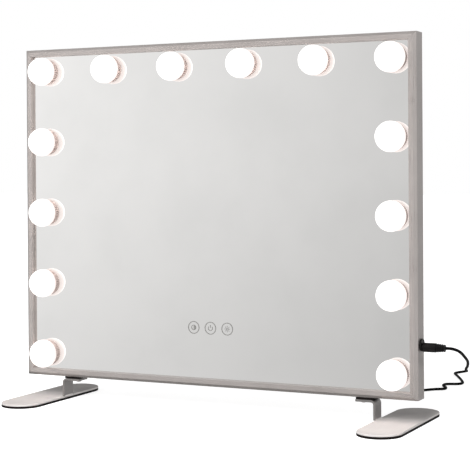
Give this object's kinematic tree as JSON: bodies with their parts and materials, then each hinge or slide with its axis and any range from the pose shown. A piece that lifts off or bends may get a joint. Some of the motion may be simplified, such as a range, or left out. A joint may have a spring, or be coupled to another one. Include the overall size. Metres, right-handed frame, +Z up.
{
  "type": "lighted vanity mirror",
  "caption": "Landscape table mirror in a slim metal frame, with opal globe lamps along its top and sides, on two steel feet, with a low-voltage lead.",
  "frame": {"origin": "on the table, at the middle of the footprint of the two feet", "axes": "+Z up, the mirror faces -Y, +X to the right as seen from the front"},
  "size_m": [0.6289, 0.552, 0.494],
  "materials": {
    "brushed_aluminium": "fine brushed, clear anodised",
    "zinc_plate": "dull zinc plate",
    "silvered_glass": "polished float glass, silvered at the back",
    "opal_plastic": "opal diffuser, lit from inside",
    "bright_plating": "bright plated, fine ribs",
    "white_board": "white solder mask",
    "panel_plastic": "moulded sheet, fine texture",
    "black_plastic": "moulded, slightly glossy",
    "satin_steel": "satin, smooth edges",
    "black_rubber": "matte",
    "cord_vinyl": "semi-matt vinyl"
  },
  "bodies": {
    "mirror": {"top_rail": "brushed_aluminium", "bottom_rail": "brushed_aluminium", "left_rail": "brushed_aluminium", "right_rail": "brushed_aluminium", "corner_key_1": "zinc_plate", "corner_key_2": "zinc_plate", "corner_key_3": "zinc_plate", "corner_key_4": "zinc_plate", "mirror_glass": "silvered_glass", "bulb_globe_01": "opal_plastic", "bulb_globe_02": "opal_plastic", "bulb_globe_03": "opal_plastic", "bulb_globe_04": "opal_plastic", "bulb_globe_05": "opal_plastic", "bulb_globe_06": "opal_plastic", "bulb_globe_07": "opal_plastic", "bulb_globe_08": "opal_plastic", "bulb_globe_09": "opal_plastic", "bulb_globe_10": "opal_plastic", "bulb_globe_11": "opal_plastic", "bulb_globe_12": "opal_plastic", "bulb_globe_13": "opal_plastic", "bulb_globe_14": "opal_plastic", "bulb_collar_01": "bright_plating", "bulb_collar_02": "bright_plating", "bulb_collar_03": "bright_plating", "bulb_collar_04": "bright_plating", "bulb_collar_05": "bright_plating", "bulb_collar_06": "bright_plating", "bulb_collar_07": "bright_plating", "bulb_collar_08": "bright_plating", "bulb_collar_09": "bright_plating", "bulb_collar_10": "bright_plating", "bulb_collar_11": "bright_plating", "bulb_collar_12": "bright_plating", "bulb_collar_13": "bright_plating", "bulb_collar_14": "bright_plating", "led_strip_top": "white_board", "led_strip_left": "white_board", "led_strip_right": "white_board", "control_board": "white_board", "back_panel": "panel_plastic", "dc_jack": "black_plastic", "jack_bezel": "black_plastic", "left_foot_screw": "satin_steel", "right_foot_screw": "satin_steel"},
    "left_foot": {"left_bracket": "satin_steel", "left_foot_plate": "satin_steel", "left_foot_pad": "black_rubber", "left_spacer": "black_rubber"},
    "right_foot": {"right_bracket": "satin_steel", "right_foot_plate": "satin_steel", "right_foot_pad": "black_rubber", "right_spacer": "black_rubber"},
    "power_lead": {"dc_plug": "black_plastic", "power_cord": "cord_vinyl", "cord_coil": "cord_vinyl", "coil_tie": "black_rubber", "adapter_lead": "cord_vinyl", "wall_adapter": "black_plastic"}
  },
  "joints": [
    {"name": "left_foot_swivel", "type": "hinge", "parent": "mirror", "child": "left_foot", "pos_m": [-0.2133, -0.0015, 0.0311], "axis": [0, 0, 1], "range_deg": [-90, 90]},
    {"name": "right_foot_swivel", "type": "hinge", "parent": "mirror", "child": "right_foot", "pos_m": [0.2133, -0.0015, 0.0311], "axis": [0, 0, 1], "range_deg": [-90, 90]},
    {"name": "plug_pull", "type": "slide", "parent": "mirror", "child": "power_lead", "axis": [1, 0, 0], "range_m": [0, 0.012]}
  ]
}
